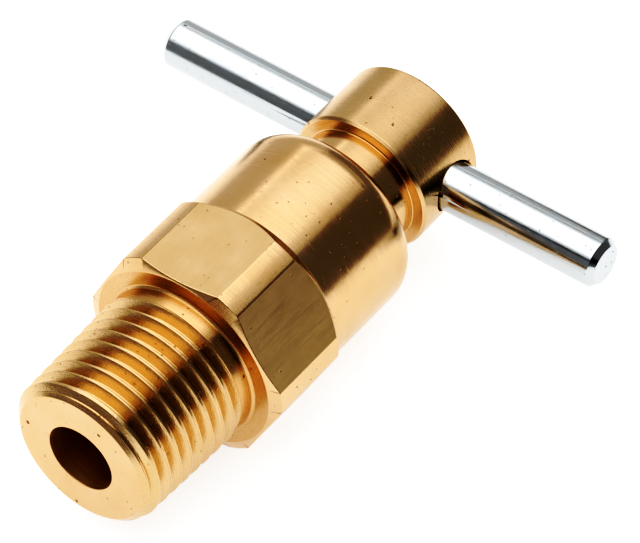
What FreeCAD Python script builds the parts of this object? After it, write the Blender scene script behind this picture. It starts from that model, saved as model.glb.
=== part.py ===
import FreeCAD, Part
import os
import Sketcher

# Drain cock with an internal seat, a hollow spindle and a tee bar, lying on one flat of its hexagon.
# Frame: +Y runs along the axis from the threaded inlet end to the head, +Z is up, and the origin is
# the centre of the inlet end face. The bar lies nearly level along X. Lengths are in millimetres.

doc = FreeCAD.newDocument("DrainCock")

# Driving dimensions: alias, value, what it is.
sizeTable = [
    ("inlet_bore_dia", "4.5", "inlet bore of the body"),
    ("thread_crest_dia", "9.95", "taper thread over its crests, at the end face"),
    ("thread_taper", "16", "length of thread for each unit of diameter"),
    ("thread_length", "8.3", "taper thread"),
    ("thread_end_chamfer", "0.7", "chamfer of the thread at the inlet end face"),
    ("relief_depth", "0.184", "plain relief, below the crests at the large end of the thread"),
    ("relief_length", "1.2", "plain relief behind the thread"),
    ("relief_corner", "0.3", "cone in the corner of the relief and the front of the hexagon"),
    ("hex_over_thread", "1.115625", "flats above the crests at the large end, makes 12.7 across flats"),
    ("hex_corner_trim", "0.4", "how far the corners are turned down"),
    ("hex_face_inset", "0.15", "edge of the flat front face below the flats"),
    ("hex_front_angle", "25", "slope of the front chamfer, degrees"),
    ("hex_land", "5.4", "length of a corner between its chamfers"),
    ("hex_rear_chamfer", "0.78", "rear chamfer of the corners, along the axis"),
    ("barrel_below_flats", "0.2", "step from a flat down to the barrel"),
    ("barrel_length", "6.5", "straight part of the barrel behind the hexagon"),
    ("dome_radius", "1.8", "end of the barrel, spun in over the spindle"),
    ("lip_thickness", "1.3", "spun lip"),
    ("lip_inner_chamfer", "0.4", "inside corner under the lip, and the chamfer of the land that meets it"),
    ("seat_depth", "9.4", "from the end face to the small edge of the conical seat"),
    ("seat_gap", "0.05", "axial clearance of the nose on its seat when shut"),
    ("port_chamber_dia", "6.9", "chamber around the nose"),
    ("port_chamber_length", "2.6", "chamber around the nose, beyond the seat"),
    ("shank_dia", "7.94", "threaded shank of the spindle, over its crests"),
    ("land_dia", "9.52", "sealing land of the spindle"),
    ("land_length", "2.65", "sealing land of the spindle"),
    ("running_clearance", "0.05", "radial clearance of shank, land and neck"),
    ("step_clearance", "0.15", "clearance of shank and land above their steps"),
    ("opening_travel", "2.117", "two turns of a screw with 24 threads to the inch"),
    ("stop_clearance", "0.1", "what is left under the lip when fully open"),
    ("ring_section_dia", "1.12", "rubber ring, across its section"),
    ("ring_clearance", "0.02", "ring to its groove floor and to the bore"),
    ("ring_groove_width", "1.5", "groove of the ring"),
    ("seat_width", "0.45", "cone of the nose beyond the edge of the inlet bore, across the radius"),
    ("nose_tip_margin", "0.05", "blunt tip of the nose beyond the edge of the inlet bore"),
    ("drain_bore_dia", "3", "bore along the spindle"),
    ("drain_bore_end", "1.0", "solid metal between the base of the cone and the drain bore"),
    ("port_dia", "2", "cross ports behind the cone"),
    ("port_count", "4", "openings around the nose"),
    ("port_setback", "1.7", "port centre behind the base of the cone"),
    ("neck_dia", "7.8", "neck of the spindle"),
    ("neck_exposed", "2.36", "neck between the lip and the head when shut"),
    ("neck_corner", "0.25", "cone in the corner of neck and head"),
    ("head_dia", "9.53", "head of the spindle"),
    ("head_undercut", "0.2", "how far the underside slopes down to the neck"),
    ("head_edge", "0.12", "broken edge of the head"),
    ("outlet_dia", "5.8", "outlet in the end of the head"),
    ("outlet_depth", "4.95", "outlet in the end of the head"),
    ("bar_dia", "3.2", "tee bar"),
    ("bar_length", "32", "tee bar"),
    ("bar_height", "2.88", "centre of the bar above the underside of the head"),
    ("head_above_bar", "2.291", "end of the head above the centre of the bar"),
    ("bar_offset", "-0.35", "middle of the bar off the axis, as driven in"),
    ("bar_end_chamfer", "0.38", "chamfer at the ends of the bar"),
    ("bar_fit", "0.02", "radial clearance of the bar in the head"),
    ("bar_hole_edge", "0.12", "broken edge of the cross hole"),
    ("groove_length", "16", "three grooves swaged along the middle of the bar"),
    ("groove_full_length", "9.6", "part of a groove that has the full depth"),
    ("groove_depth", "0.22", "swaged groove"),
    ("groove_width", "0.7", "swaged groove, at the surface"),
    ("groove_angle", "17", "first groove, from the top of the bar towards the inlet, degrees"),
    ("handle_angle", "1.9", "tilt of the bar, its +X end down, degrees"),
]

sheet = doc.addObject("Spreadsheet::Sheet", "Size")
for row, (alias, value, meaning) in enumerate(sizeTable, start=1):
    sheet.set(f"A{row}", meaning)
    sheet.set(f"B{row}", value)
    sheet.setAlias(f"B{row}", alias)
doc.recompute()

# Places worked out from the sizes, written as expressions. Radii and heights along the axis.
endRadius = "Size.thread_crest_dia / 2"
radiusPerLength = "1 / (2 * Size.thread_taper)"
threadEnd = "Size.thread_length"
threadEndRadius = f"({endRadius} + {threadEnd} * {radiusPerLength})"
reliefEnd = f"({threadEnd} + Size.relief_length)"
reliefRadius = f"({threadEndRadius} - Size.relief_depth)"
hexFlat = f"({threadEndRadius} + Size.hex_over_thread)"
hexFace = f"({hexFlat} - Size.hex_face_inset)"
hexCorner = f"({hexFlat} / cos(30 deg) - Size.hex_corner_trim)"
barrelRadius = f"({hexFlat} - Size.barrel_below_flats)"
frontSlope = "tan(Size.hex_front_angle * 1 deg)"
hexCornerStart = f"({reliefEnd} + ({hexCorner} - {hexFace}) * {frontSlope})"
hexCornerEnd = f"({hexCornerStart} + Size.hex_land)"
hexEnd = f"({hexCornerEnd} + Size.hex_rear_chamfer)"
domeStart = f"({hexEnd} + Size.barrel_length)"
lipTop = f"({domeStart} + Size.dome_radius)"
lipUnder = f"({lipTop} - Size.lip_thickness)"
boreRadius = "Size.inlet_bore_dia / 2"
chamberRadius = "Size.port_chamber_dia / 2"
shankRadius = "Size.shank_dia / 2"
landRadius = "Size.land_dia / 2"
neckRadius = "Size.neck_dia / 2"
headRadius = "Size.head_dia / 2"
noseRadius = f"({boreRadius} + Size.seat_width)"
noseTipRadius = f"({boreRadius} + Size.nose_tip_margin)"
drainRadius = "Size.drain_bore_dia / 2"
outletRadius = "Size.outlet_dia / 2"
seatEnd = f"(Size.seat_depth + {chamberRadius} - {boreRadius})"
tapStart = f"({seatEnd} + Size.port_chamber_length)"
landEnd = f"({lipUnder} - Size.opening_travel - Size.stop_clearance)"
landStart = f"({landEnd} - Size.land_length)"
tapEnd = f"({landStart} - Size.step_clearance)"
noseTip = "(Size.seat_depth + Size.seat_gap + Size.nose_tip_margin)"
coneBase = "(Size.seat_depth + Size.seat_gap + Size.seat_width)"
shankStart = f"({tapStart} + Size.step_clearance)"
ringPlace = f"(({landStart} + {landEnd}) / 2)"
ringRadius = "Size.ring_section_dia / 2"
ringCentreRadius = f"({landRadius} + Size.running_clearance - Size.ring_clearance - {ringRadius})"
grooveFloor = f"({ringCentreRadius} - {ringRadius} - Size.ring_clearance)"
headNeck = f"({lipTop} + Size.neck_exposed)"
headUnder = f"({headNeck} + Size.head_undercut)"
barPlace = f"({headUnder} + Size.bar_height)"
headTop = f"({barPlace} + Size.head_above_bar)"
barRadius = "Size.bar_dia / 2"
barHalf = "Size.bar_length / 2"


def originPart(body, role):
    return next(item for item in body.Origin.OriginFeatures if item.Role == role)


def newBody(name):
    body = doc.addObject("PartDesign::Body", name)
    body.Label = name
    return body


def newSketch(body, name, role):
    sketch = body.newObject("Sketcher::SketchObject", name)
    sketch.AttachmentSupport = [(originPart(body, role), "")]
    sketch.MapMode = "FlatFace"
    return sketch


def place(sketch, item, point, across, along):
    # Holds one point of a sketch at two expressions, or on an axis where the expression is "0".
    for kind, text, axis in (("DistanceX", across, -2), ("DistanceY", along, -1)):
        if text == "0":
            sketch.addConstraint(Sketcher.Constraint("PointOnObject", item, point, axis))
        else:
            value = float(sketch.evalExpression(text))
            index = sketch.addConstraint(Sketcher.Constraint(kind, -1, 1, item, point, value))
            sketch.setExpression(f"Constraints[{index}]", text)


def drawProfile(sketch, corners, arcs=None):
    # A closed outline through corners, each a pair of expressions. arcs maps the number of a side
    # to the radius of its arc, an expression, and the side that its centre lies on: +1 is the left.
    arcs = arcs or {}
    spots = [FreeCAD.Vector(float(sketch.evalExpression(a)), float(sketch.evalExpression(b)), 0)
             for a, b in corners]
    count = len(spots)
    for side in range(count):
        start, end = spots[side], spots[(side + 1) % count]
        if side in arcs:
            radius, hand = arcs[side]
            reach = float(sketch.evalExpression(radius))
            chord = end - start
            left = FreeCAD.Vector(-chord.y, chord.x, 0).normalize()
            rise = max(reach ** 2 - (chord.Length / 2) ** 2, 0) ** 0.5
            centre = (start + end) * 0.5 + left * (hand * rise)
            middle = centre - left * (hand * reach)
            sketch.addGeometry(Part.Arc(start, middle, end))
        else:
            sketch.addGeometry(Part.LineSegment(start, end))
    # an arc always runs counter-clockwise in a sketch, so its ends may be swapped
    ends = []
    for side in range(count):
        swapped = (sketch.getPoint(side, 1) - spots[side]).Length > 1e-6
        ends.append((2, 1) if swapped else (1, 2))
    for side in range(count):
        following = (side + 1) % count
        sketch.addConstraint(Sketcher.Constraint(
            "Coincident", side, ends[side][1], following, ends[following][0]))
    for side, (across, along) in enumerate(corners):
        place(sketch, side, ends[side][0], across, along)
    for side, (radius, hand) in arcs.items():
        index = sketch.addConstraint(Sketcher.Constraint(
            "Radius", side, float(sketch.evalExpression(radius))))
        sketch.setExpression(f"Constraints[{index}]", radius)


def revolve(body, kind, name, sketch, axis="V_Axis"):
    feature = body.newObject("PartDesign::" + kind, name)
    feature.Profile = sketch
    feature.ReferenceAxis = (sketch, [axis])
    feature.Angle = 360
    return feature


def cutAcross(body, name, sketch, length):
    # A pocket that cuts the same depth to both sides of its sketch.
    pocket = body.newObject("PartDesign::Pocket", name)
    pocket.Profile = sketch
    pocket.SideType = "Symmetric"
    pocket.setExpression("Length", length)
    return pocket


def repeatAround(body, name, feature, role, count, total=360):
    pattern = body.newObject("PartDesign::PolarPattern", name)
    pattern.Originals = [feature]
    pattern.Axis = (originPart(body, role), [""])
    pattern.Angle = total
    if isinstance(count, str):
        pattern.setExpression("Occurrences", count)
    else:
        pattern.Occurrences = count
    body.Tip = pattern
    return pattern


# Body of the valve: taper thread, relief, chamfered hexagon, barrel and spun dome in one piece.
valveBody = newBody("valve_body")
outside = newSketch(valveBody, "body_outside", "XY_Plane")
endChamfer = "Size.thread_end_chamfer"
drawProfile(outside, [
    ("0", "0"),
    (f"{endRadius} - {endChamfer}", "0"),
    (f"{endRadius} + {endChamfer} * {radiusPerLength}", endChamfer),
    (threadEndRadius, threadEnd),
    (reliefRadius, threadEnd),
    (reliefRadius, f"{reliefEnd} - Size.relief_corner"),
    (f"{reliefRadius} + Size.relief_corner", reliefEnd),
    (hexFace, reliefEnd),
    (hexCorner, hexCornerStart),
    (hexCorner, hexCornerEnd),
    (barrelRadius, hexEnd),
    (barrelRadius, domeStart),
    (f"{barrelRadius} - Size.dome_radius", lipTop),
    ("0", lipTop),
], arcs={11: ("Size.dome_radius", 1)})
revolve(valveBody, "Revolution", "body_turned", outside)

flatSketch = newSketch(valveBody, "hex_flat_outline", "YZ_Plane")
drawProfile(flatSketch, [
    (reliefEnd, hexFlat),
    (hexEnd, hexFlat),
    (hexEnd, f"{hexCorner} * 1.1"),
    (reliefEnd, f"{hexCorner} * 1.1"),
])
flatCut = cutAcross(valveBody, "hex_flat", flatSketch, f"{hexCorner} * 2")
repeatAround(valveBody, "hex_flats", flatCut, "Y_Axis", 6)

inside = newSketch(valveBody, "body_inside", "XY_Plane")
drawProfile(inside, [
    ("0", "0"),
    (boreRadius, "0"),
    (boreRadius, "Size.seat_depth"),
    (chamberRadius, seatEnd),
    (chamberRadius, tapStart),
    (f"{shankRadius} + Size.running_clearance", tapStart),
    (f"{shankRadius} + Size.running_clearance", tapEnd),
    (f"{landRadius} + Size.running_clearance", tapEnd),
    (f"{landRadius} + Size.running_clearance", f"{lipUnder} - Size.lip_inner_chamfer"),
    (f"{landRadius} + Size.running_clearance - Size.lip_inner_chamfer", lipUnder),
    (f"{neckRadius} + Size.running_clearance", lipUnder),
    (f"{neckRadius} + Size.running_clearance", lipTop),
    ("0", lipTop),
])
valveBody.Tip = revolve(valveBody, "Groove", "body_bored", inside)

# Spindle: blunt cone nose, port section, threaded shank, sealing land, neck and bored head.
spindle = newBody("spindle")
turned = newSketch(spindle, "spindle_outside", "XY_Plane")
drawProfile(turned, [
    ("0", noseTip),
    (noseTipRadius, noseTip),
    (noseRadius, coneBase),
    (noseRadius, shankStart),
    (shankRadius, shankStart),
    (shankRadius, landStart),
    (landRadius, landStart),
    (landRadius, f"{ringPlace} - Size.ring_groove_width / 2"),
    (grooveFloor, f"{ringPlace} - Size.ring_groove_width / 2"),
    (grooveFloor, f"{ringPlace} + Size.ring_groove_width / 2"),
    (landRadius, f"{ringPlace} + Size.ring_groove_width / 2"),
    (landRadius, f"{landEnd} - Size.lip_inner_chamfer"),
    (f"{landRadius} - Size.lip_inner_chamfer", landEnd),
    (neckRadius, landEnd),
    (neckRadius, f"{headNeck} - Size.neck_corner"),
    (f"{neckRadius} + Size.neck_corner", headNeck),
    (headRadius, headUnder),
    (headRadius, f"{headTop} - Size.head_edge"),
    (f"{headRadius} - Size.head_edge", headTop),
    ("0", headTop),
])
revolve(spindle, "Revolution", "spindle_turned", turned)

drained = newSketch(spindle, "spindle_inside", "XY_Plane")
drainFoot = f"({coneBase} + Size.drain_bore_end)"
drawProfile(drained, [
    ("0", drainFoot),
    (drainRadius, f"{drainFoot} + {drainRadius} / 2"),
    (drainRadius, f"{headTop} - Size.outlet_depth"),
    (outletRadius, f"{headTop} - Size.outlet_depth + ({outletRadius} - {drainRadius}) / 2"),
    (outletRadius, headTop),
    ("0", headTop),
])
revolve(spindle, "Groove", "spindle_bored", drained)


def roundOutline(body, name, role, across, along, radius):
    # A circle held at two expressions in one of the piece's own planes.
    sketch = newSketch(body, name, role)
    centre = FreeCAD.Vector(float(sketch.evalExpression(across)), float(sketch.evalExpression(along)), 0)
    size = float(sketch.evalExpression(radius))
    sketch.addGeometry(Part.Circle(centre, FreeCAD.Vector(0, 0, 1), size))
    place(sketch, 0, 3, across, along)
    index = sketch.addConstraint(Sketcher.Constraint("Radius", 0, size))
    sketch.setExpression(f"Constraints[{index}]", radius)
    return sketch


portSketch = roundOutline(spindle, "port_outline", "XY_Plane",
                          "0", f"({coneBase} + Size.port_setback)", "Size.port_dia / 2")
portCut = spindle.newObject("PartDesign::Pocket", "port")
portCut.Profile = portSketch
portCut.setExpression("Length", f"{noseRadius} * 1.1")
repeatAround(spindle, "ports", portCut, "Y_Axis", "Size.port_count")

# The cross hole of the bar runs right through the head, and its two rims are broken.
holeSketch = roundOutline(spindle, "bar_hole_outline", "YZ_Plane",
                          barPlace, "0", f"{barRadius} + Size.bar_fit")
barHole = cutAcross(spindle, "bar_hole", holeSketch, f"{headRadius} * 3")
doc.recompute()


def rimEdges(shape, radius):
    # The edges of a cross hole that lie on the outside of a turned piece of this radius.
    found = []
    for number, edge in enumerate(shape.Edges, start=1):
        middle = edge.valueAt((edge.FirstParameter + edge.LastParameter) / 2)
        spots = [middle] + [vertex.Point for vertex in edge.Vertexes]
        outside = all(abs((spot.x ** 2 + spot.z ** 2) ** 0.5 - radius) < 1e-3 for spot in spots)
        slanting = edge.BoundBox.YLength > 1e-3 and edge.BoundBox.ZLength > 1e-3
        if outside and slanting:
            found.append(f"Edge{number}")
    return found


holeRims = spindle.newObject("PartDesign::Chamfer", "bar_hole_rims")
holeRims.Base = (barHole, rimEdges(barHole.Shape, float(spindle.evalExpression(headRadius))))
holeRims.setExpression("Size", "Size.bar_hole_edge")

# Tee bar: a straight pin with chamfered ends and three grooves swaged along its middle.
teeBar = newBody("tee_bar")
barSketch = newSketch(teeBar, "bar_outline", "XY_Plane")
barStart = f"(Size.bar_offset - {barHalf})"
barEnd = f"(Size.bar_offset + {barHalf})"
drawProfile(barSketch, [
    (barStart, "0"),
    (barEnd, "0"),
    (barEnd, f"{barRadius} - Size.bar_end_chamfer"),
    (f"{barEnd} - Size.bar_end_chamfer", barRadius),
    (f"{barStart} + Size.bar_end_chamfer", barRadius),
    (barStart, f"{barRadius} - Size.bar_end_chamfer"),
])
revolve(teeBar, "Revolution", "bar_turned", barSketch, "H_Axis")

# One swaged groove is a thin lens in the plane of the bar, cut to both sides, and shallow at its ends.
swageSketch = newSketch(teeBar, "swage_outline", "XZ_Plane")
swageEnd = "Size.groove_length / 2"
swageFull = "Size.groove_full_length / 2"
drawProfile(swageSketch, [
    (f"Size.bar_offset - {swageEnd}", barRadius),
    (f"Size.bar_offset - {swageFull}", f"{barRadius} - Size.groove_depth"),
    (f"Size.bar_offset + {swageFull}", f"{barRadius} - Size.groove_depth"),
    (f"Size.bar_offset + {swageEnd}", barRadius),
    (f"Size.bar_offset + {swageEnd}", f"{barRadius} + Size.groove_depth"),
    (f"Size.bar_offset - {swageEnd}", f"{barRadius} + Size.groove_depth"),
])
swage = cutAcross(teeBar, "swaged_groove", swageSketch, "Size.groove_width")
repeatAround(teeBar, "swaged_grooves", swage, "X_Axis", 3)

# Rubber ring in the groove of the land, seals the spindle in the barrel.
sealRing = doc.addObject("Part::Torus", "seal_ring")
sealRing.Label = "seal_ring"
sealRing.setExpression("Radius1", ringCentreRadius)
sealRing.setExpression("Radius2", ringRadius)
sealRing.Placement = FreeCAD.Placement(
    FreeCAD.Vector(0, 0, 0), FreeCAD.Rotation(FreeCAD.Vector(1, 0, 0), -90))
sealRing.setExpression(".Placement.Base.y", ringPlace)

# The bar and the spindle stand turned about the axis, and the bar's grooves about its own line.
spindle.Placement = FreeCAD.Placement(
    FreeCAD.Vector(0, 0, 0), FreeCAD.Rotation(FreeCAD.Vector(0, 1, 0), 1))
spindle.setExpression(".Placement.Rotation.Angle", "Size.handle_angle * 1 deg")
barTilt = "rotation(vector(0; 1; 0); Size.handle_angle * 1 deg)"
barRoll = "rotation(vector(1; 0; 0); Size.groove_angle * 1 deg)"
teeBar.setExpression("Placement", f"placement(vector(0; {barPlace}; 0); {barTilt} * {barRoll})")
doc.recompute()

for item in doc.Objects:
    if "Invalid" in item.State or "Error" in item.State:
        raise RuntimeError(f"{item.Name} failed: {item.State}")

os.makedirs("parts", exist_ok=True)
for piece in (valveBody, spindle, teeBar, sealRing):
    shape = piece.Shape
    if shape.isNull() or not shape.isValid():
        raise RuntimeError(f"{piece.Label} has no valid shape")
    shape.exportStep(f"parts/{piece.Label}.step")
    print(piece.Label, "solids", len(shape.Solids), "volume", round(shape.Volume, 2))
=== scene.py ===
import math

import bmesh
import bpy
from mathutils import Matrix, Vector


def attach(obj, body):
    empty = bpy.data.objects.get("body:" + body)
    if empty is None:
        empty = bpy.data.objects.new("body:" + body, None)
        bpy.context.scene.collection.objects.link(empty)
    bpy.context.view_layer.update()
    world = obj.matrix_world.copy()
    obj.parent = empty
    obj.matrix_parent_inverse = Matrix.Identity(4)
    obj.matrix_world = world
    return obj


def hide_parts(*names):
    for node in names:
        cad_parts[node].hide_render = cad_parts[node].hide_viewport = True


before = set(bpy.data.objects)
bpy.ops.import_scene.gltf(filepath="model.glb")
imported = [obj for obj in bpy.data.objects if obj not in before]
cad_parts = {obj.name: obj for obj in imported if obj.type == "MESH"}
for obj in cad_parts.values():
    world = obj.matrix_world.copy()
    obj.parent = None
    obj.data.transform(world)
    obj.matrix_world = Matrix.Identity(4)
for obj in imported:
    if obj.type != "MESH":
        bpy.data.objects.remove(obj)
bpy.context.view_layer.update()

# Drain cock, looks only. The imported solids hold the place, and each one is replaced here by a finer
# piece with its small edges, its thread and its metal. The axis runs along +Y, inlet end at y = 0.
# Lengths in the dictionaries are millimetres, angles are degrees, and radii are from the axis.

mm = 0.001
weld = 1e-7          # metres: points closer than this become one
fullTurn = 2 * math.pi
scene = bpy.context.scene


# small tools for modelling

outlineSet = {
    "arcStep": 15,        # coarsest step of a rounding
    "chord": 0.05,        # a large rounding gets chords of about this length
    "mostSteps": 30,
    "sideShare": 0.9,     # most of a side that one rounding may take
    "hold": 0.04,         # how far from its ends a long side gets its holding points
    "longSide": 0.16,
    "flatFrom": 10,       # square millimetres from which a face counts as truly flat
    "softBend": 20,       # up to this bend the metal is shaded round
}


def dropSelection():
    bpy.ops.object.select_all(action="DESELECT")


def takeUp(piece):
    # makes this piece the only selected one, and the active one
    dropSelection()
    piece.select_set(True)
    bpy.context.view_layer.objects.active = piece


def editAll(piece):
    takeUp(piece)
    bpy.ops.object.mode_set(mode="EDIT")
    bpy.ops.mesh.select_all(action="SELECT")


def leaveEdit():
    bpy.ops.object.mode_set(mode="OBJECT")


def faceOutward():
    bpy.ops.mesh.select_all(action="SELECT")
    bpy.ops.mesh.normals_make_consistent(inside=False)
    leaveEdit()


def startOutline(name, first):
    # a plane merged to one vertex is where an outline begins
    dropSelection()
    bpy.ops.mesh.primitive_plane_add(size=mm, location=(0, 0, 0))
    piece = bpy.context.object
    piece.name = piece.data.name = name
    bpy.ops.object.mode_set(mode="EDIT")
    bpy.context.tool_settings.mesh_select_mode = (True, False, False)
    bpy.ops.mesh.select_all(action="SELECT")
    bpy.ops.mesh.merge(type="CENTER")
    bpy.ops.transform.translate(value=first)
    return piece


def drawOutline(name, spots, closed=True):
    # extrudes the first vertex along all the spots, each a pair (radius, height)
    points = [Vector((across * mm, along * mm, 0)) for across, along in spots]
    if closed:
        points.append(points[0])
    piece = startOutline(name, points[0])
    for before, after in zip(points, points[1:]):
        bpy.ops.mesh.extrude_region_move(TRANSFORM_OT_translate={"value": after - before})
    bpy.ops.mesh.select_all(action="SELECT")
    bpy.ops.mesh.remove_doubles(threshold=weld)
    return piece


def roundCorner(here, before, after, rounding):
    # a short arc in place of the corner, running smoothly into both of its sides
    back, ahead = before - here, after - here
    opening = back.angle(ahead)
    longest = outlineSet["sideShare"]
    reach = min(rounding / math.tan(opening / 2), back.length * longest, ahead.length * longest)
    radius = reach * math.tan(opening / 2)
    middle = (back.normalized() + ahead.normalized()).normalized()
    centre = here + middle * (radius / math.sin(opening / 2))
    start = here + back.normalized() * reach
    sweep = math.pi - opening
    side = 1 if back.cross(ahead) < 0 else -1
    fewest = math.ceil(sweep / math.radians(outlineSet["arcStep"]))
    steps = max(fewest, min(outlineSet["mostSteps"], round(radius * sweep / outlineSet["chord"])))
    turns = [side * sweep * step / steps for step in range(steps + 1)]
    return [centre + Matrix.Rotation(turn, 2) @ (start - centre) for turn in turns]


def softened(corners):
    # rounds each corner (radius, height, rounding), and keeps the long sides truly straight with a
    # point close to each of their ends
    spots = []
    for number, (across, along, rounding) in enumerate(corners):
        here = Vector((across, along))
        if rounding == 0:
            spots.append(here)
            continue
        before = Vector(corners[number - 1][:2])
        after = Vector(corners[(number + 1) % len(corners)][:2])
        spots += roundCorner(here, before, after, rounding)
    held = []
    for number, spot in enumerate(spots):
        ahead = spots[(number + 1) % len(spots)] - spot
        held.append(spot)
        if ahead.length > outlineSet["longSide"]:
            hold = ahead.normalized() * outlineSet["hold"]
            held += [spot + hold, spot + ahead - hold]
    return [(spot.x, spot.y) for spot in held]


def spinRound(piece, steps):
    # turns the outline once about the Y axis, as on a lathe
    bpy.ops.mesh.select_all(action="SELECT")
    bpy.ops.mesh.spin(steps=steps, angle=fullTurn, center=(0, 0, 0), axis=(0, 1, 0))
    bpy.ops.mesh.select_all(action="SELECT")
    bpy.ops.mesh.remove_doubles(threshold=weld)
    faceOutward()


def chooseEdges(piece, rule):
    # in edit mode, selects the edges that the rule takes, and says how many
    mesh = bmesh.from_edit_mesh(piece.data)
    bpy.ops.mesh.select_all(action="DESELECT")
    mesh.select_mode = {"EDGE"}
    bpy.context.tool_settings.mesh_select_mode = (False, True, False)
    chosen = [edge for edge in mesh.edges if rule(edge)]
    for edge in chosen:
        edge.select_set(True)
    bmesh.update_edit_mesh(piece.data)
    return len(chosen)


def subtract(piece, cutter):
    takeUp(piece)
    cut = piece.modifiers.new("cut", "BOOLEAN")
    cut.operation = "DIFFERENCE"
    cut.solver = "EXACT"
    cut.object = cutter
    bpy.ops.object.modifier_apply(modifier=cut.name)
    bpy.data.objects.remove(cutter)


def smoothBy(piece, degrees):
    # soft shading over small bends, where large faces keep their own direction and the flats stay flat
    takeUp(piece)
    bpy.ops.object.shade_smooth_by_angle(angle=math.radians(degrees))
    bpy.ops.object.mode_set(mode="EDIT")
    large = outlineSet["flatFrom"] * mm * mm
    chooseEdges(piece, lambda edge: any(face.calc_area() > large for face in edge.link_faces))
    bpy.ops.mesh.mark_sharp()
    leaveEdit()
    weigh = piece.modifiers.new("weigh", "WEIGHTED_NORMAL")
    weigh.keep_sharp = True
    bpy.ops.object.modifier_apply(modifier=weigh.name)


# camera, where the photograph was taken from

cameraSet = {
    "place": (131.49, -137.30, 211.25),
    "right": (0.79950208, 0.59905844, -0.04387956),
    "back": (0.44047094, -0.5350467, 0.72090941),
    "lens": 281.25,
    "sensor": 36,
    "reach": (10, 20000),      # nearest and farthest
}


def placeCamera():
    size = cameraSet
    right, back = Vector(size["right"]), Vector(size["back"])
    up = back.cross(right)
    place = Vector(size["place"]) * mm
    lens = bpy.data.cameras.new("camera")
    lens.lens = size["lens"]
    lens.sensor_width = size["sensor"]
    lens.clip_start, lens.clip_end = (distance * mm for distance in size["reach"])
    camera = bpy.data.objects.new("camera", lens)
    scene.collection.objects.link(camera)
    camera.matrix_world = Matrix((
        (right.x, up.x, back.x, place.x),
        (right.y, up.y, back.y, place.y),
        (right.z, up.z, back.z, place.z),
        (0, 0, 0, 1)))
    scene.camera = camera


placeCamera()
print("camera placed")


# finishes: brass, zinc and rubber

pitSet = {"wobble": 0.35, "wobbleScale": 4, "smallest": 0.35, "softRim": 0.4, "strength": 0.6, "depth": 0.03}


def newMaterial(name):
    material = bpy.data.materials.new(name)
    material.use_nodes = True
    nodes = material.node_tree.nodes
    nodes.clear()
    output = nodes.new("ShaderNodeOutputMaterial")
    shader = nodes.new("ShaderNodeBsdfPrincipled")
    material.node_tree.links.new(shader.outputs[0], output.inputs[0])
    return material, shader


markSlant = 1.37     # tool marks lie so much closer along the axis than outward


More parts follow.
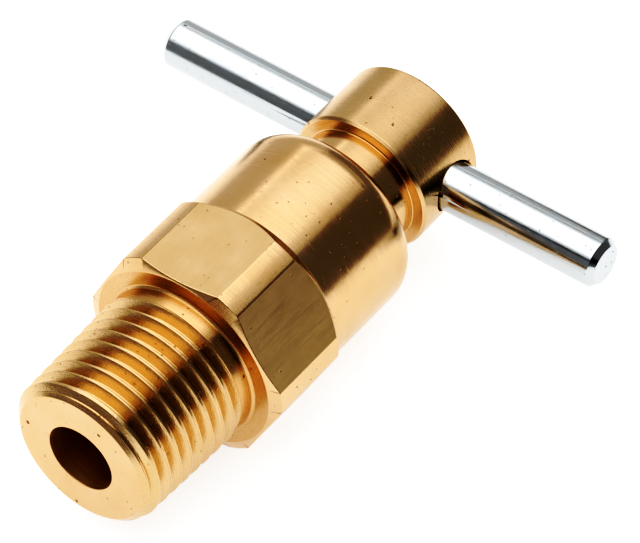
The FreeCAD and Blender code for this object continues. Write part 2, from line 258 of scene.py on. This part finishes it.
class Wires:
    # short names for the nodes that the finishes share
    def __init__(self, material):
        self.tree = material.node_tree
        coordinates = self.tree.nodes.new("ShaderNodeTexCoord")
        scale = self.tree.nodes.new("ShaderNodeMapping")
        scale.inputs["Scale"].default_value = (1 / mm, 1 / mm, 1 / mm)
        self.join(coordinates.outputs["Object"], scale.inputs[0])
        self.place = scale.outputs[0]

    def join(self, start, end):
        self.tree.links.new(start, end)

    def fill(self, socket, value):
        if hasattr(value, "is_output"):
            self.join(value, socket)
        else:
            socket.default_value = value

    def math(self, kind, first, second=0.0):
        node = self.tree.nodes.new("ShaderNodeMath")
        node.operation = kind
        self.fill(node.inputs[0], first)
        self.fill(node.inputs[1], second)
        return node.outputs[0]

    def times(self, first, second):
        return self.math("MULTIPLY", first, second)

    def plus(self, first, second):
        return self.math("ADD", first, second)

    def vector(self, kind, first, second=(0, 0, 0), output=0):
        node = self.tree.nodes.new("ShaderNodeVectorMath")
        node.operation = kind
        self.fill(node.inputs[0], first)
        self.fill(node.inputs[1], second)
        return node.outputs[output]

    def parts(self, place):
        node = self.tree.nodes.new("ShaderNodeSeparateXYZ")
        self.join(place, node.inputs[0])
        return node.outputs

    def whole(self, x, y, z):
        node = self.tree.nodes.new("ShaderNodeCombineXYZ")
        for socket, value in zip(node.inputs, (x, y, z)):
            self.fill(socket, value)
        return node.outputs[0]

    def noise(self, place, scale, detail=2.0, roughness=0.5, output=0):
        node = self.tree.nodes.new("ShaderNodeTexNoise")
        self.fill(node.inputs["Vector"], place)
        node.inputs["Scale"].default_value = scale
        node.inputs["Detail"].default_value = detail
        node.inputs["Roughness"].default_value = roughness
        return node.outputs[output]

    def spread(self, value, low, high, start=0.0, end=1.0):
        # maps low..high to start..end and holds the ends
        node = self.tree.nodes.new("ShaderNodeMapRange")
        self.fill(node.inputs[0], value)
        for socket, number in zip(node.inputs[1:5], (low, high, start, end)):
            socket.default_value = number
        return node.outputs[0]

    def blend(self, share, first, second):
        node = self.tree.nodes.new("ShaderNodeMix")
        node.data_type = "RGBA"
        self.fill(node.inputs[0], share)
        for socket, value in zip(node.inputs[6:8], (first, second)):
            self.fill(socket, value if hasattr(value, "is_output") else (*value, 1))
        return node.outputs[2]

    def bump(self, height, strength, depth, under=None):
        node = self.tree.nodes.new("ShaderNodeBump")
        node.inputs["Strength"].default_value = strength
        node.inputs["Distance"].default_value = depth * mm
        self.join(height, node.inputs["Height"])
        if under is not None:
            self.join(under, node.inputs["Normal"])
        return node.outputs[0]

    def specks(self, scale, share, size):
        # of so many cells to a millimetre this share holds one speck of uneven outline and size
        shake = self.noise(self.place, scale * pitSet["wobbleScale"], output="Color")
        centred = self.vector("SUBTRACT", shake, (0.5, 0.5, 0.5))
        wobble = self.vector("MULTIPLY", centred, (pitSet["wobble"] / scale,) * 3)
        cells = self.tree.nodes.new("ShaderNodeTexVoronoi")
        cells.inputs["Scale"].default_value = scale
        self.join(self.vector("ADD", self.place, wobble), cells.inputs["Vector"])
        chance = self.parts(cells.outputs["Color"])
        near = self.math("LESS_THAN", chance[0], share)
        width = self.times(self.spread(chance[1], 0.0, 1.0, pitSet["smallest"], 1.0), size)
        inside = self.math("SUBTRACT", width, cells.outputs["Distance"])
        return self.times(self.spread(inside, 0.0, size * pitSet["softRim"]), near)

    def pits(self, look):
        # large ones and, fainter, fine ones
        fine = self.times(self.specks(*look["finePits"]), look["fineShare"])
        return self.math("MAXIMUM", self.specks(*look["largePits"]), fine) if "largePits" in look else fine

    def sunk(self, pits, under):
        return self.bump(self.times(pits, -1.0), pitSet["strength"], pitSet["depth"], under)

    def turnedMarks(self, fineness, length):
        # tool marks of a lathe: rings that change with radius and height, and break up slowly round the axis
        x, y, z = self.parts(self.place)
        radius = self.math("SQRT", self.plus(self.times(x, x), self.times(z, z)))
        profile = self.plus(radius, self.times(y, markSlant))
        across = self.times(self.math("DIVIDE", x, radius), length)
        around = self.times(self.math("DIVIDE", z, radius), length)
        return self.noise(self.whole(self.times(profile, fineness), across, around), 1.0, 3.0, 0.6)


def makeTurnedBrass(name, **changes):
    look = {
        "colour": (0.72, 0.51, 0.315),
        "deep": (0.69, 0.475, 0.27),
        "cloud": 0.35,
        "largePits": (1.3, 0.16, 0.17),     # cells to a millimetre, share with a pit, size of the largest
        "finePits": (4.0, 0.14, 0.3),
        "fineShare": 0.55,
        "pitColour": (0.22, 0.12, 0.04),
        "roughness": 0.20,
        "smoother": 0.06,                   # how far the roughness goes below and above that
        "rougher": 0.14,
        "marks": (14, 1.5),                 # rings to a millimetre, and how fast they break up round the axis
        "coarseMarks": (3.0, 0.6),
        "coarseShare": 0.7,
        "marksDepth": 0.0018,
        "skin": ((1.0, 0.45, 1.0), 3.2),    # soft dents between the marks: stretch and scale
        "skinDepth": 0.006,
        "tornMarks": (9, 14),
        "torn": 0.0,                        # depth of the torn grain that a die leaves
    }
    look.update(changes)
    material, shader = newMaterial(name)
    wires = Wires(material)
    marks = wires.turnedMarks(*look["marks"])
    coarse = wires.turnedMarks(*look["coarseMarks"])
    cloud = wires.noise(wires.place, look["cloud"], 3.0)
    pits = wires.pits(look)
    tint = wires.blend(wires.spread(cloud, 0.35, 0.7), look["colour"], look["deep"])
    wires.join(wires.blend(pits, tint, look["pitColour"]), shader.inputs["Base Color"])
    shader.inputs["Metallic"].default_value = 1.0
    uneven = wires.plus(marks, wires.times(pits, 0.6))
    rough = wires.spread(uneven, 0.3, 0.9, look["roughness"] - look["smoother"],
                         look["roughness"] + look["rougher"])
    wires.join(rough, shader.inputs["Roughness"])
    stretch, scale = look["skin"]
    skin = wires.noise(wires.vector("MULTIPLY", wires.place, stretch), scale, 3.0, 0.6)
    height = wires.plus(marks, wires.times(coarse, look["coarseShare"]))
    rings = wires.bump(height, 0.5, look["marksDepth"], wires.bump(skin, 0.5, look["skinDepth"]))
    if look["torn"]:
        grain = wires.plus(wires.turnedMarks(*look["tornMarks"]), wires.noise(wires.place, 5, 3.0))
        rings = wires.bump(grain, 0.6, look["torn"], rings)
    wires.join(wires.sunk(pits, rings), shader.inputs["Normal"])
    return material


def makeFlatBrass():
    # the flats of the drawn hexagon bar, with fine lines along it
    look = {
        "colour": (0.66, 0.49, 0.30),
        "deep": (0.60, 0.44, 0.25),
        "cloud": 0.5,
        "finePits": (3.0, 0.12, 0.28),
        "fineShare": 0.5,
        "pitColour": (0.12, 0.06, 0.02),
        "roughness": 0.38,
        "lines": (9, 0.5, 9),
        "linesDepth": 0.006,
    }
    material, shader = newMaterial("drawnBrassFlat")
    wires = Wires(material)
    stretched = [wires.times(part, by) for part, by in zip(wires.parts(wires.place), look["lines"])]
    lines = wires.noise(wires.whole(*stretched), 1.0, 3.0)
    cloud = wires.noise(wires.place, look["cloud"], 4.0)
    pits = wires.pits(look)
    tint = wires.blend(wires.spread(cloud, 0.3, 0.7), look["colour"], look["deep"])
    wires.join(wires.blend(pits, tint, look["pitColour"]), shader.inputs["Base Color"])
    shader.inputs["Metallic"].default_value = 1.0
    rough = wires.spread(lines, 0.3, 0.8, look["roughness"] - 0.05, look["roughness"] + 0.12)
    wires.join(rough, shader.inputs["Roughness"])
    wires.join(wires.sunk(pits, wires.bump(lines, 0.35, look["linesDepth"])), shader.inputs["Normal"])
    return material


def makeBoreBrass():
    # drilled: rougher, with the lines of the drill round the axis. Its colours are lighter than the outer
    # brass: painted light that lifts the shade inside the bore
    look = {
        # both colours are lighter than the turned brass outside: painted light in the bore
        "colour": (0.86, 0.64, 0.42),
        "deep": (0.74, 0.52, 0.31),
        "roughness": 0.42,
        "marks": (8, 1.2),
        "marksDepth": 0.012,
    }
    material, shader = newMaterial("drilledBrassPaintedLight")
    wires = Wires(material)
    marks = wires.turnedMarks(*look["marks"])
    tint = wires.blend(wires.spread(marks, 0.3, 0.7), look["deep"], look["colour"])
    wires.join(tint, shader.inputs["Base Color"])
    shader.inputs["Metallic"].default_value = 1.0
    rough = wires.spread(marks, 0.3, 0.8, look["roughness"], look["roughness"] + 0.15)
    wires.join(rough, shader.inputs["Roughness"])
    wires.join(wires.bump(marks, 0.6, look["marksDepth"]), shader.inputs["Normal"])
    return material


def makeZincPlate():
    look = {
        "colour": (0.62, 0.635, 0.635),
        "bluish": (0.60, 0.64, 0.67),
        "cloud": 1.2,
        "largePits": (1.6, 0.16, 0.17),
        "finePits": (5.0, 0.16, 0.3),
        "fineShare": 0.5,
        "pitColour": (0.16, 0.17, 0.18),
        "roughness": 0.15,
        "skin": 5.0,
        "skinDepth": 0.004,
    }
    material, shader = newMaterial("zincPlate")
    wires = Wires(material)
    cloud = wires.noise(wires.place, look["cloud"], 4.0)
    pits = wires.pits(look)
    tint = wires.blend(wires.spread(cloud, 0.35, 0.75), look["colour"], look["bluish"])
    wires.join(wires.blend(pits, tint, look["pitColour"]), shader.inputs["Base Color"])
    shader.inputs["Metallic"].default_value = 1.0
    rough = wires.spread(cloud, 0.3, 0.8, look["roughness"] - 0.03, look["roughness"] + 0.08)
    wires.join(rough, shader.inputs["Roughness"])
    soft = wires.bump(wires.noise(wires.place, look["skin"], 3.0), 0.3, look["skinDepth"])
    wires.join(wires.sunk(pits, soft), shader.inputs["Normal"])
    return material


def makeNitrile():
    look = {"colour": (0.018, 0.018, 0.018), "dusty": (0.05, 0.05, 0.048), "roughness": (0.42, 0.62)}
    material, shader = newMaterial("nitrileRubber")
    wires = Wires(material)
    dust = wires.noise(wires.place, 5.0, 4.0)
    tint = wires.blend(wires.spread(dust, 0.35, 0.75), look["colour"], look["dusty"])
    wires.join(tint, shader.inputs["Base Color"])
    wires.join(wires.spread(dust, 0.3, 0.8, *look["roughness"]), shader.inputs["Roughness"])
    wires.join(wires.bump(dust, 0.2, 0.01), shader.inputs["Normal"])
    return material


turnedBrass = makeTurnedBrass("turnedBrass")
threadBrass = makeTurnedBrass(
    "threadBrass", colour=(0.705, 0.51, 0.31), deep=(0.67, 0.475, 0.27), roughness=0.23, torn=0.012)
reliefBrass = makeTurnedBrass(
    "reliefBrass", colour=(0.68, 0.46, 0.26), deep=(0.65, 0.42, 0.22), roughness=0.26)
headBrass = makeTurnedBrass(
    "headBrass", colour=(0.67, 0.485, 0.30), deep=(0.62, 0.44, 0.255), roughness=0.24)
boreBrass = makeBoreBrass()
flatBrass = makeFlatBrass()
zincPlate = makeZincPlate()
nitrile = makeNitrile()
print("finishes ready")


# valve body: a blank turned from hexagon bar

bodySet = {
    "steps": 192,
    "bore": 2.25,
    "boreRim": 0.06,
    "crestAtEnd": 4.975,     # over the thread crests at the end face
    "taper": 1 / 32,
    "threadLength": 8.3,
    "endChamfer": 0.58,
    "endRim": 0.12,
    "relief": 5.05,          # in its middle
    "reliefTilt": 0.05,      # less at the thread, more at the hexagon
    "reliefStart": 0.12,     # past the thread
    "reliefFoot": (0.17, 0.15),
    "reliefCorner": 0.1,
    "hexStart": 9.5,
    "hexFace": 6.2,
    "hexFlat": 6.35,
    "hexCorner": 6.932,
    "cornerStart": 9.842,
    "cornerEnd": 15.242,
    "hexEnd": 16.022,
    "barrel": 6.15,
    "barrelFoot": 0.08,
    "dome": 1.8,
    "lipTop": 24.322,
    "lipUnder": 23.022,
    "lipBore": 3.95,
    "lipRim": 0.06,
    "landBore": 4.81,
    "landCorner": 0.4,
    "tapBore": 4.02,
    "tapStart": 13.2,
    "tapEnd": 18.0,
    "chamber": 3.45,
    "seatStart": 9.4,
    "seatEnd": 10.6,
    "edge": 0.05,            # how far sharp edges are broken
    "flatCorners": 20,       # a flat has more corners than this
    "flatTilt": 0.01,        # and its normal leans less than this along the axis
    "flatRim": 0.05,
    "cornerKnot": 0.012,
}


def makeValveBody():
    size = bodySet
    edge, corner = size["edge"], size["reliefCorner"]
    footWider, footLower = size["reliefFoot"]

    def crestAt(along):
        return size["crestAtEnd"] + along * size["taper"]

    corners = [
        (size["bore"], 0, size["boreRim"]),
        (size["crestAtEnd"] - size["endChamfer"], 0, size["endRim"]),
        (crestAt(size["endChamfer"]), size["endChamfer"], edge),
        (crestAt(size["threadLength"]), size["threadLength"], edge),
        (size["relief"] - size["reliefTilt"], size["threadLength"] + size["reliefStart"], corner),
        (size["relief"] + size["reliefTilt"], size["hexStart"] - footLower, corner),
        (size["relief"] + footWider, size["hexStart"], corner),
        (size["hexFace"], size["hexStart"], edge),
        (size["hexCorner"], size["cornerStart"], edge),
        (size["hexCorner"], size["cornerEnd"], edge),
        (size["barrel"], size["hexEnd"], size["barrelFoot"]),
        (size["barrel"], size["lipTop"], size["dome"]),
        (size["lipBore"], size["lipTop"], size["lipRim"]),
        (size["lipBore"], size["lipUnder"], 0),
        (size["landBore"], size["lipUnder"], size["landCorner"]),
        (size["landBore"], size["tapEnd"], 0),
        (size["tapBore"], size["tapEnd"], edge),
        (size["tapBore"], size["tapStart"], 0),
        (size["chamber"], size["tapStart"], edge),
        (size["chamber"], size["seatEnd"], 0),
        (size["bore"], size["seatStart"], 0),
    ]
    body = drawOutline("valveBodyTurned", softened(corners))
    spinRound(body, size["steps"])

    # six flats of the hexagon, each a plane cut through the turned blank
    editAll(body)
    for side in range(6):
        angle = math.radians(60 * side)
        outward = Vector((math.sin(angle), 0, math.cos(angle)))
        bpy.ops.mesh.select_all(action="SELECT")
        bpy.ops.mesh.bisect(plane_co=outward * size["hexFlat"] * mm, plane_no=outward,
                            use_fill=True, clear_outer=True, threshold=weld / 10)

    # the rims of the flats are broken a little
    def isFlat(face):
        return len(face.verts) > size["flatCorners"] and abs(face.normal.y) < size["flatTilt"]

    rims = chooseEdges(body, lambda edge: sum(isFlat(face) for face in edge.link_faces) == 1)
    bpy.ops.mesh.bevel(offset=size["flatRim"] * mm, segments=2, affect="EDGES")
    # at each corner of a flat the new rims run past one another a little: drawn to one point
    chooseEdges(body, lambda edge: any(isFlat(face) for face in edge.link_faces))
    bpy.ops.mesh.remove_doubles(threshold=size["cornerKnot"] * mm)
    leaveEdit()
    print("six flats,", rims, "rim edges")
    return body


# thread: the V that the die cuts, wound up the cone

threadSet = {
    "pitch": 25.4 / 27,
    "crestPlace": 0.83,      # height of the first crest where the camera sees the thread face on
    "crestAngle": 31.9,      # that direction, from +Z towards +X
    "land": 0.10,            # flat left on a crest
    "rootRadius": 0.09,
    "rootSteps": 8,
    "flank": 32,             # half the angle between the flanks
    "above": 0.25,           # how far the tool stands out of the blank
    "turnsBefore": 2,
    "turns": 11,
    "fadeStart": 8.05,       # from here the tool backs out of the metal
    "fadeEnd": 8.6,
    "fadeBy": 0.8,
    "leadEnd": 1.0,          # up to here the first turn is shallower, as much as leadBy at the end face
    "leadBy": 0.27,
    "steps": 120,
}


def makeThreadTool():
    size = threadSet
    crest, root = bodySet["crestAtEnd"], size["rootRadius"]
    half = (size["pitch"] - size["land"]) / 2
    flank = math.radians(size["flank"])
    centre = crest - half / math.tan(flank) + root / math.sin(flank)
    outline = [(crest + size["above"], -half), (crest, -half)]
    sweep = math.pi - 2 * flank
    for step in range(size["rootSteps"] + 1):
        angle = sweep * (step / size["rootSteps"] - 0.5)
        outline.append((centre - root * math.cos(angle), root * math.sin(angle)))
    outline += [(crest, half), (crest + size["above"], half)]
    begin = size["crestPlace"] + size["pitch"] * ((90 - size["crestAngle"]) / 360 - 0.5 - size["turnsBefore"])
    tool = drawOutline("threadTool", [(across, along + begin) for across, along in outline])
    leaveEdit()
    wind = tool.modifiers.new("wind", "SCREW")
    wind.axis = "Y"
    wind.angle = fullTurn
    wind.screw_offset = size["pitch"] * mm
    wind.iterations = size["turns"]
    wind.steps = wind.render_steps = size["steps"]
    takeUp(tool)
    bpy.ops.object.modifier_apply(modifier=wind.name)

    # every point moves outward with the cone, and more at both ends of the thread
    for number, point in enumerate(tool.data.vertices):
        turned = number // len(outline) / size["steps"]
        height = begin + size["pitch"] * turned
        fade = min(1, max(0, (height - size["fadeStart"]) / (size["fadeEnd"] - size["fadeStart"])))
        lead = min(1, max(0, (size["leadEnd"] - height) / size["leadEnd"]))
        away = height * bodySet["taper"] + size["fadeBy"] * fade * fade + size["leadBy"] * lead
        across = math.hypot(point.co.x, point.co.z)
        point.co.x *= 1 + away * mm / across
        point.co.z *= 1 + away * mm / across

    # the two open ends are filled
    editAll(tool)
    bpy.ops.mesh.select_all(action="DESELECT")
    bpy.context.tool_settings.mesh_select_mode = (True, False, False)
    bpy.ops.mesh.select_non_manifold()
    bpy.ops.mesh.fill_holes(sides=0)
    faceOutward()
    return tool


body = makeValveBody()
print("valve body turned,", len(body.data.polygons), "faces")
subtract(body, makeThreadTool())
smoothBy(body, outlineSet["softBend"])
print("thread cut,", len(body.data.polygons), "faces")


# spindle: nose, threaded shank, land with the ring's groove, neck and head

spindleSet = {
    "steps": 160,
    "tip": 9.5,
    "tipRadius": 2.3,
    "shoulder": 9.9,
    "nose": 2.7,
    "shankStart": 13.35,
    "shank": 3.97,
    "landStart": 18.155,
    "land": 4.76,
    "landChamfer": 0.4,
    "landEnd": 20.805,
    "grooveStart": 18.73,
    "grooveEnd": 20.23,
    "grooveFloor": 3.68,
    "grooveRim": 0.08,
    "neck": 3.9,
    "neckFoot": 0.15,
    "neckTop": 0.08,
    "head": 4.765,
    "headStart": 26.68,
    "headEnd": 32.05,
    "headChamfer": (0.15, 0.2),     # under the head: inward, and along the axis
    "headChamferRim": 0.04,
    "headRim": 0.12,
    "outlet": 2.9,
    "outletEnd": 27.8,
    "coneEnd": 27.1,
    "drain": 1.5,
    "drainEnd": 11.65,
    "drillPoint": 10.9,
    "edge": 0.05,
    "corner": 0.1,
    "port": 1.0,
    "portHeight": 11.6,
    "portReach": 4,
    "portSteps": 48,
    "crossHole": 1.62,
    "crossSteps": 64,
    "crossFlare": (0.55, 1, 0.35),  # wider by so much, from so far outside the head to so far inside it
    "barHeight": 29.761,
    "handleAngle": 1.9,
}


def makeSpindle():
    size = spindleSet
    edge, corner = size["edge"], size["corner"]
    inward, along = size["headChamfer"]
    corners = [
        (0, size["tip"], 0),
        (size["tipRadius"], size["tip"], edge),
        (size["nose"], size["shoulder"], edge),
        (size["nose"], size["shankStart"], corner),
        (size["shank"], size["shankStart"], corner),
        (size["shank"], size["landStart"], 0),
        (size["land"], size["landStart"], corner),
        (size["land"], size["grooveStart"], size["grooveRim"]),
        (size["grooveFloor"], size["grooveStart"], corner),
        (size["grooveFloor"], size["grooveEnd"], corner),
        (size["land"], size["grooveEnd"], size["grooveRim"]),
        (size["land"], size["landEnd"] - size["landChamfer"], edge),
        (size["land"] - size["landChamfer"], size["landEnd"], edge),
        (size["neck"], size["landEnd"], size["neckFoot"]),
        (size["neck"], size["headStart"], size["neckTop"]),
        (size["head"] - inward, size["headStart"], size["headChamferRim"]),
        (size["head"], size["headStart"] + along, size["headChamferRim"]),
        (size["head"], size["headEnd"], size["headRim"]),
        (size["outlet"], size["headEnd"], corner),
        (size["outlet"], size["outletEnd"], 0),
        (size["drain"], size["coneEnd"], 0),
        (size["drain"], size["drainEnd"], 0),
        (0, size["drillPoint"], 0),
    ]
    spindle = drawOutline("spindleTurned", softened(corners), closed=False)
    spinRound(spindle, size["steps"])

    # cross hole for the bar, its rims flared
    turn = Matrix.Rotation(math.radians(size["handleAngle"]), 4, "Y")
    hole, reach = size["crossHole"], size["head"]
    wider, outside, inside = size["crossFlare"]
    drill = drawOutline("crossDrill", [
        (0, -reach - outside), (hole + wider, -reach - outside), (hole, -reach + inside),
        (hole, reach - inside), (hole + wider, reach + outside), (0, reach + outside)], closed=False)
    spinRound(drill, size["crossSteps"])
    drill.data.transform(Matrix.Translation((0, size["barHeight"] * mm, 0)) @ turn
                         @ Matrix.Rotation(math.radians(90), 4, "Z"))
    subtract(spindle, drill)

    # two holes across one another are the four ports round the nose
    dropSelection()
    for quarter in range(2):
        bpy.ops.mesh.primitive_cylinder_add(vertices=size["portSteps"], radius=size["port"] * mm,
                                            depth=2 * size["portReach"] * mm, location=(0, 0, 0))
        port = bpy.context.object
        port.data.transform(Matrix.Translation((0, size["portHeight"] * mm, 0)) @ turn
                            @ Matrix.Rotation(math.radians(90 * quarter), 4, "Y"))
        subtract(spindle, port)
    smoothBy(spindle, outlineSet["softBend"])
    return spindle


spindle = makeSpindle()
print("spindle made,", len(spindle.data.polygons), "faces")


# tee bar, modelled along Y and then laid through the head

barSet = {
    "steps": 96,
    "radius": 1.6,
    "start": -16.35,
    "end": 15.65,
    "chamfer": 0.38,
    "chamferIn": 0.1,
    "chamferOut": 0.12,
    "grooveDepth": 0.16,
    "grooveWidth": 0.28,
    "grooveLength": 16,       # with the slopes at both ends
    "fullLength": 9.6,
    "grooveAngle": -20,       # first groove, from the inlet's side of the bar, minus is upward
    "wedgeAbove": (0.3, 1),   # how far the wedge stands out, and beyond its ends
    "skim": 0.02,             # the slopes end this far outside the bar
}


def makeTeeBar():
    size = barSet
    corners = [
        (0, size["start"], 0),
        (size["radius"] - size["chamfer"], size["start"], size["chamferIn"]),
        (size["radius"], size["start"] + size["chamfer"], size["chamferOut"]),
        (size["radius"], size["end"] - size["chamfer"], size["chamferOut"]),
        (size["radius"] - size["chamfer"], size["end"], size["chamferIn"]),
        (0, size["end"], 0),
    ]
    bar = drawOutline("teeBar", softened(corners), closed=False)
    spinRound(bar, size["steps"])

    # three swaged grooves, pressed in with a wedge that lifts out at both ends
    half, full = size["grooveLength"] / 2, size["fullLength"] / 2
    middle = (size["start"] + size["end"]) / 2
    above, beyond = size["wedgeAbove"]
    top, skin = size["radius"] + above, size["radius"] + size["skim"]
    bottom = size["radius"] - size["grooveDepth"]
    outline = [(top, -half - beyond), (skin, -half), (bottom, -full),
               (bottom, full), (skin, half), (top, half + beyond)]
    for third in range(3):
        wedge = drawOutline("grooveWedge", [(across, along + middle) for across, along in outline])
        bpy.ops.mesh.select_all(action="SELECT")
        bpy.ops.mesh.edge_face_add()
        bpy.ops.mesh.select_all(action="SELECT")
        bpy.ops.mesh.extrude_region_move(TRANSFORM_OT_translate={"value": (0, 0, size["grooveWidth"] * mm)})
        faceOutward()
        turn = Matrix.Rotation(math.radians(size["grooveAngle"] + 120 * third), 4, "Y")
        wedge.data.transform(turn @ Matrix.Translation((0, 0, -size["grooveWidth"] / 2 * mm)))
        subtract(bar, wedge)
    bar.data.transform(Matrix.Translation((0, spindleSet["barHeight"] * mm, 0))
                       @ Matrix.Rotation(math.radians(spindleSet["handleAngle"]), 4, "Y")
                       @ Matrix.Rotation(math.radians(-90), 4, "Z"))
    smoothBy(bar, outlineSet["softBend"])
    return bar


bar = makeTeeBar()
print("tee bar made,", len(bar.data.polygons), "faces")


# seal ring, with the fine flash of its mould inside and outside

ringSet = {
    "steps": 128,
    "sectionSteps": 36,
    "section": 1.12,
    "middle": 4.245,
    "height": 19.479,
    "flash": 0.03,
    "softBend": 50,
}


def makeSealRing():
    size = ringSet
    spots = []
    for step in range(size["sectionSteps"]):
        angle = fullTurn * step / size["sectionSteps"]
        onFlash = step % (size["sectionSteps"] // 2) == 0
        radius = size["section"] / 2 - size["flash"] + (size["flash"] if onFlash else 0)
        spots.append((size["middle"] + radius * math.cos(angle), size["height"] + radius * math.sin(angle)))
    ring = drawOutline("sealRing", spots)
    spinRound(ring, size["steps"])
    smoothBy(ring, size["softBend"])
    return ring


ring = makeSealRing()
print("seal ring made,", len(ring.data.polygons), "faces")


# finishes on, pieces in place

finishSet = {
    "flatTilt": 0.02,        # most that the normal of a flat leans along the axis
    "boreSkin": 0.03,        # the drilled finish reaches this far past the bore's radius
    "outside": 4,            # radius from which a face of the threaded end is outside
    "threadFrom": 0.05,      # from the end face
    "reliefFrom": 0.1,       # from the end of the thread
    "headFrom": 0.1,
    "headOutside": 4.6,
}


def bodyFinish(face):
    # which of the finishes of the body this face gets
    size = finishSet
    away, along = math.hypot(face.center.x, face.center.z) / mm, face.center.y / mm
    if abs(face.normal.y) < size["flatTilt"] and face.area > outlineSet["flatFrom"] * mm * mm:
        return flatBrass
    if away < bodySet["bore"] + size["boreSkin"]:
        return boreBrass
    if away > size["outside"] and bodySet["threadLength"] + size["reliefFrom"] < along < bodySet["hexStart"]:
        return reliefBrass
    if away > size["outside"] and size["threadFrom"] < along < bodySet["hexStart"]:
        return threadBrass
    return turnedBrass


def spindleFinish(face):
    away, along = math.hypot(face.center.x, face.center.z) / mm, face.center.y / mm
    onHead = along > spindleSet["headStart"] + finishSet["headFrom"] and away > finishSet["headOutside"]
    return headBrass if onHead else turnedBrass


def giveFinishes(piece, finishes, choose):
    for finish in finishes:
        piece.data.materials.append(finish)
    for face in piece.data.polygons:
        face.material_index = finishes.index(choose(face))


giveFinishes(body, [turnedBrass, flatBrass, boreBrass, threadBrass, reliefBrass], bodyFinish)
giveFinishes(spindle, [turnedBrass, headBrass], spindleFinish)
bar.data.materials.append(zincPlate)
ring.data.materials.append(nitrile)

pieces = [
    (body, "valve_body", "valve_body", "turned_brass"),
    (spindle, "spindle", "spindle", "spindle_brass"),
    (bar, "spindle", "tee_bar", "zinc_plated_steel"),
    (ring, "seal_ring", "seal_ring", "nitrile_rubber"),
]
for piece, rider, node, slot in pieces:
    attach(piece, rider)
    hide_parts(node)
print("pieces in place")


# light table: a pale floor that glows under the part and less far from it

floorSet = {
    "height": -6.352,
    "width": 4000,
    "colour": (0.42, 0.42, 0.415),
    "roughness": 0.85,
    "specular": 0.1,
    "middle": (0, 16, 0),
    "glow": 0.78,
    "glowFar": 0.4,
    "fall": (35, 200),       # distances from the middle between which the glow falls
}


def layFloor():
    size = floorSet
    dropSelection()
    bpy.ops.mesh.primitive_plane_add(size=size["width"] * mm, location=(0, 0, size["height"] * mm))
    floor = bpy.context.object
    floor.name = floor.data.name = "floor"
    finish, shader = newMaterial("paleFloor")
    shader.inputs["Base Color"].default_value = (*size["colour"], 1)
    shader.inputs["Roughness"].default_value = size["roughness"]
    shader.inputs["Specular IOR Level"].default_value = size["specular"]
    shader.inputs["Emission Color"].default_value = (1, 1, 1, 1)
    wires = Wires(finish)
    away = wires.vector("LENGTH", wires.vector("SUBTRACT", wires.place, size["middle"]), output="Value")
    glow = wires.spread(away, *size["fall"], size["glow"], size["glowFar"])
    wires.join(glow, shader.inputs["Emission Strength"])
    floor.data.materials.append(finish)


layFloor()

# white all round for the floor and the background, while the metal mirrors only the soft lights
world = bpy.data.worlds.new("surroundings")
scene.world = world
world.use_nodes = True
surroundings = world.node_tree.nodes["Background"]
surroundings.inputs["Color"].default_value = (1, 1, 1, 1)
surroundings.inputs["Strength"].default_value = 0.6
world.cycles_visibility.glossy = False

# contrast of a studio picture: deep darks, open lights
toneSet = {
    "white": 1.1,
    "curve": [
        (0.06, 0.002), (0.10, 0.008), (0.14, 0.019), (0.18, 0.036), (0.22, 0.072), (0.27, 0.13),
        (0.35, 0.23), (0.44, 0.34), (0.6, 0.535), (0.7, 0.665), (0.87, 0.83), (1.0, 0.945)],
}
view = scene.view_settings
view.view_transform = "Standard"
view.use_curve_mapping = True
tone = view.curve_mapping
tone.white_level = (toneSet["white"],) * 3
for light, shown in toneSet["curve"]:
    tone.curves[3].points.new(light / toneSet["white"], shown)
tone.update()


# soft boxes and reflecting walls round the part

softLights = [
    # name, middle, point it faces, width and height, brightness of its face where a lit white is 1
    ("topBox", (-60, -20, 500), (-60, -20, 0), (920, 1000), 0.92),
    ("topBoxCore", (-55, -10, 499), (-55, -10, 0), (610, 750), 0.92),
    ("leftWall", (-540, 330, 250), (0, 16, 200), (1000, 560), 0.72),
    ("frontLeftWall", (-560, -400, 250), (0, 16, 200), (760, 560), 0.36),
    ("backWall", (-100, 640, 540), (0, 16, 300), (1000, 240), 0.5),
    ("backLowWall", (-7, 640, 222), (0, 16, 200), (470, 400), 0.3),
    ("rightWall", (560, 330, 250), (0, 16, 200), (1100, 560), 0.24),
    ("frontWall", (150, -640, 230), (0, 16, 200), (1000, 520), 0.36),
]
for name, middle, aim, size, brightness in softLights:
    lamp = bpy.data.lights.new(name, "AREA")
    lamp.shape = "RECTANGLE"
    lamp.size, lamp.size_y = size[0] * mm, size[1] * mm
    lamp.energy = math.pi * brightness * lamp.size * lamp.size_y
    holder = bpy.data.objects.new(name, lamp)
    scene.collection.objects.link(holder)
    holder.location = Vector(middle) * mm
    holder.rotation_euler = (Vector(middle) - Vector(aim)).to_track_quat("Z", "Y").to_euler()
print("lights on,", len(softLights))


# dark flags seen only in the metal, where they end the mirrored floor. The cloth glows faintly though it is
# no lamp, so the metal mirrors it dark grey and not black

clothSet = {"colour": (0.02, 0.02, 0.02), "flagGlow": 0.17}
blackCloth, clothShader = newMaterial("blackCloth")
clothShader.inputs["Base Color"].default_value = (*clothSet["colour"], 1)
clothShader.inputs["Roughness"].default_value = 1
clothShader.inputs["Emission Color"].default_value = (1, 1, 1, 1)
# faint glow of the cloth, seen only in the metal: a painted reflection that lightens the dark bands there
clothShader.inputs["Emission Strength"].default_value = clothSet["flagGlow"]

flags = [
    # name, middle, width, turn about each axis
    ("rightFlag", (78, 70, -94), 200, (0, 90, 0)),
    ("frontFlag", (20, -98, -42), 100, (90, 0, 0)),
]
for name, middle, width, turn in flags:
    dropSelection()
    bpy.ops.mesh.primitive_plane_add(size=width * mm, location=Vector(middle) * mm,
                                     rotation=[math.radians(angle) for angle in turn])
    flag = bpy.context.object
    flag.name = flag.data.name = name
    flag.data.materials.append(blackCloth)
    flag.visible_camera = flag.visible_diffuse = flag.visible_shadow = flag.visible_transmission = False
print("flags hung,", len(flags))
